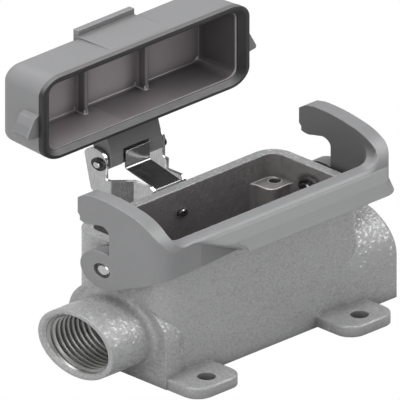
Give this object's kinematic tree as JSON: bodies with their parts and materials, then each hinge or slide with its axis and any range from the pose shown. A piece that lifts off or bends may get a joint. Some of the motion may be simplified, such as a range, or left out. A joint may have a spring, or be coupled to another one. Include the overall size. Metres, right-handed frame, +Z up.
{
  "type": "heavy duty rectangular connector housing",
  "caption": "Surface-mount base housing of a heavy duty rectangular connector, with a threaded side entry, one locking lever and a sprung cover, shown open.",
  "frame": {"origin": "centre of the four mounting holes, on the mounting surface under the feet", "axes": "+X to the blind end, with the threaded entry at the -X end; +Y to the hinge side; +Z up, away from the mounting surface"},
  "size_m": [0.1236, 0.0891, 0.1394],
  "materials": {
    "painted_casting": "satin",
    "lever_plastic": "satin",
    "stainless": "satin",
    "seal_rubber": "matte"
  },
  "bodies": {
    "base": {"housing": "painted_casting", "lever_pin_left": "stainless", "lever_pin_right": "stainless", "lever_washer_left": "stainless", "lever_washer_right": "stainless", "pin_ring_left": "stainless", "pin_ring_right": "stainless", "hinge_bracket": "stainless", "detent_spring": "stainless", "bracket_screw": "stainless", "bracket_washer": "stainless", "hinge_pin": "stainless", "hinge_ring_left": "stainless", "hinge_ring_right": "stainless"},
    "lever": {"locking_lever": "lever_plastic"},
    "cover": {"cover": "painted_casting", "cover_gasket": "seal_rubber"}
  },
  "joints": [
    {"name": "cover_hinge", "type": "hinge", "parent": "base", "child": "cover", "pos_m": [0, 0.0406, 0.0743], "axis": [1, 0, 0], "range_deg": [0, 90]},
    {"name": "lever_pivot", "type": "hinge", "parent": "base", "child": "lever", "pos_m": [0, 0, 0.056], "axis": [1, 0, 0], "range_deg": [0, 45]}
  ],
  "couplings": [
    {"joint": "lever_pivot", "follows": "cover_hinge", "ratio": 0.5}
  ]
}
